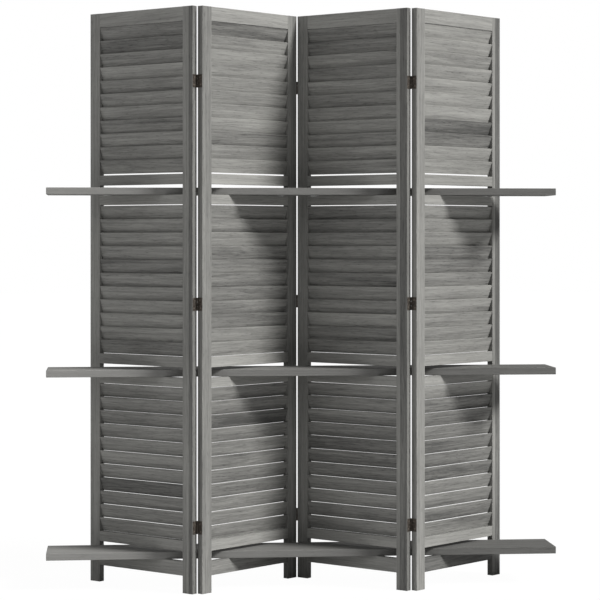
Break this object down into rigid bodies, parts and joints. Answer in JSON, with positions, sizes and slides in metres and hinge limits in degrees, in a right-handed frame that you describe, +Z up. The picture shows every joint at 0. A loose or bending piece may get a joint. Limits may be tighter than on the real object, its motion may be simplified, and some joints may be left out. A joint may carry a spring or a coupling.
{
  "type": "room divider with shelves",
  "caption": "Folding screen of louvred wooden panels on butt hinges, with long loose shelf boards pushed through slots in every panel.",
  "frame": {"origin": "centre of the footprint on the floor, boards included", "axes": "+X along the boards to the right seen from the front, +Y to the back, +Z up; the front of the screen looks to -Y"},
  "size_m": [1.5034, 0.2806, 1.7],
  "materials": {
    "stile_wood": "grey-stained, brushed, matt",
    "rail_wood": "grey-stained, brushed, matt",
    "slat_wood": "grey-stained, brushed, matt",
    "shelf_wood": "grey-stained, smooth, matt",
    "hinge_leaf": "dark bronze, satin",
    "hinge_pin": "dark bronze, satin"
  },
  "bodies": {
    "centre_pins": {"hinge_centre_pins": "hinge_pin"},
    "panel_1": {"panel_1_left_stile": "stile_wood", "panel_1_right_stile": "stile_wood", "panel_1_top_rail": "rail_wood", "panel_1_slot_head_rails": "rail_wood", "panel_1_shelf_rest_rails": "rail_wood", "panel_1_bottom_rail": "rail_wood", "panel_1_slats_lower": "slat_wood", "panel_1_slats_middle": "slat_wood", "panel_1_slats_upper": "slat_wood", "hinge_left_leaves_a": "hinge_leaf"},
    "panel_2": {"panel_2_left_stile": "stile_wood", "panel_2_right_stile": "stile_wood", "panel_2_top_rail": "rail_wood", "panel_2_slot_head_rails": "rail_wood", "panel_2_shelf_rest_rails": "rail_wood", "panel_2_bottom_rail": "rail_wood", "panel_2_slats_lower": "slat_wood", "panel_2_slats_middle": "slat_wood", "panel_2_slats_upper": "slat_wood", "hinge_left_leaves_b": "hinge_leaf", "hinge_centre_leaves_a": "hinge_leaf"},
    "panel_3": {"panel_3_left_stile": "stile_wood", "panel_3_right_stile": "stile_wood", "panel_3_top_rail": "rail_wood", "panel_3_slot_head_rails": "rail_wood", "panel_3_shelf_rest_rails": "rail_wood", "panel_3_bottom_rail": "rail_wood", "panel_3_slats_lower": "slat_wood", "panel_3_slats_middle": "slat_wood", "panel_3_slats_upper": "slat_wood", "hinge_centre_leaves_b": "hinge_leaf", "hinge_right_leaves_a": "hinge_leaf"},
    "panel_4": {"panel_4_left_stile": "stile_wood", "panel_4_right_stile": "stile_wood", "panel_4_top_rail": "rail_wood", "panel_4_slot_head_rails": "rail_wood", "panel_4_shelf_rest_rails": "rail_wood", "panel_4_bottom_rail": "rail_wood", "panel_4_slats_lower": "slat_wood", "panel_4_slats_middle": "slat_wood", "panel_4_slats_upper": "slat_wood", "hinge_right_leaves_b": "hinge_leaf"},
    "shelf_bottom": {"shelf_bottom": "shelf_wood"},
    "shelf_middle": {"shelf_middle": "shelf_wood"},
    "shelf_top": {"shelf_top": "shelf_wood"}
  },
  "joints": [
    {"name": "centre_fold", "type": "hinge", "parent": "centre_pins", "child": "panel_3", "pos_m": [-0.003, 0.12564, 0.85], "axis": [0, 0, -1], "range_deg": [-6, 48]},
    {"name": "centre_fold_left", "type": "hinge", "parent": "centre_pins", "child": "panel_2", "pos_m": [-0.003, 0.12564, 0.85], "axis": [0, 0, 1], "range_deg": [-6, 48]},
    {"name": "left_fold", "type": "hinge", "parent": "panel_2", "child": "panel_1", "pos_m": [-0.31526, -0.12564, 0.85], "axis": [0, 0, -1], "range_deg": [-12, 96]},
    {"name": "right_fold", "type": "hinge", "parent": "panel_3", "child": "panel_4", "pos_m": [0.30926, -0.12564, 0.85], "axis": [0, 0, 1], "range_deg": [-12, 96]},
    {"name": "shelf_bottom_slide", "type": "slide", "parent": "centre_pins", "child": "shelf_bottom", "axis": [1, 0, 0], "range_m": [-1.2, 1.2]},
    {"name": "shelf_middle_slide", "type": "slide", "parent": "centre_pins", "child": "shelf_middle", "axis": [1, 0, 0], "range_m": [-1.2, 1.2]},
    {"name": "shelf_top_slide", "type": "slide", "parent": "centre_pins", "child": "shelf_top", "axis": [1, 0, 0], "range_m": [-1.2, 1.2]}
  ],
  "couplings": [
    {"joint": "centre_fold_left", "follows": "centre_fold", "ratio": 1},
    {"joint": "left_fold", "follows": "centre_fold", "ratio": 2},
    {"joint": "right_fold", "follows": "centre_fold", "ratio": 2}
  ]
}
